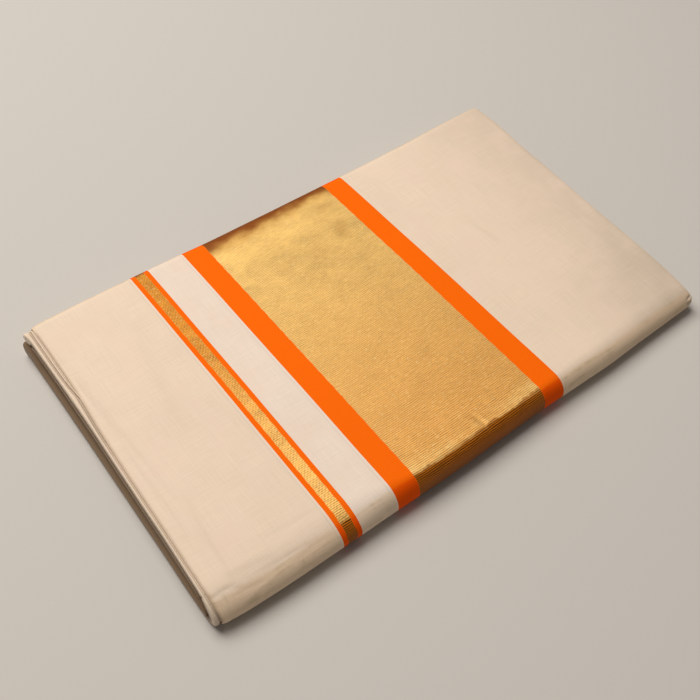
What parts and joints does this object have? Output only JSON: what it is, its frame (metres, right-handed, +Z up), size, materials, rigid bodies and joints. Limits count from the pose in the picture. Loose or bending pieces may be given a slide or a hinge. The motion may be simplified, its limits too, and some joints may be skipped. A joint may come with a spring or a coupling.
{
  "type": "folded kasavu saree",
  "caption": "Long cotton saree folded into a flat pad with a front spine, an open back, and woven orange and gold bands that run across it and round its edge.",
  "frame": {"origin": "on the surface that the folded cloth lies on, under the middle of its box", "axes": "+X along the bundle towards the end with the rolls, +Y from the front spine to the open back, +Z up"},
  "size_m": [0.4508, 0.2781, 0.027],
  "materials": {
    "cotton": "matt unbleached cotton in a fine plain weave",
    "orange_yarn": "matt dyed cotton, weft faced",
    "gold_zari": "metallic yarn in fine ribs",
    "inner_cotton": "matt unbleached cotton"
  },
  "bodies": {
    "root": {"cotton_field_left": "cotton", "narrow_orange_band_left": "orange_yarn", "narrow_gold_band": "gold_zari", "narrow_orange_band_right": "orange_yarn", "cotton_field_middle": "cotton", "wide_orange_band_left": "orange_yarn", "wide_gold_panel": "gold_zari", "wide_orange_band_right": "orange_yarn", "cotton_field_right": "cotton", "thick_inner_fold": "inner_cotton", "thin_inner_ply": "inner_cotton", "second_ply": "inner_cotton", "hidden_layers_core": "inner_cotton"}
  },
  "joints": []
}
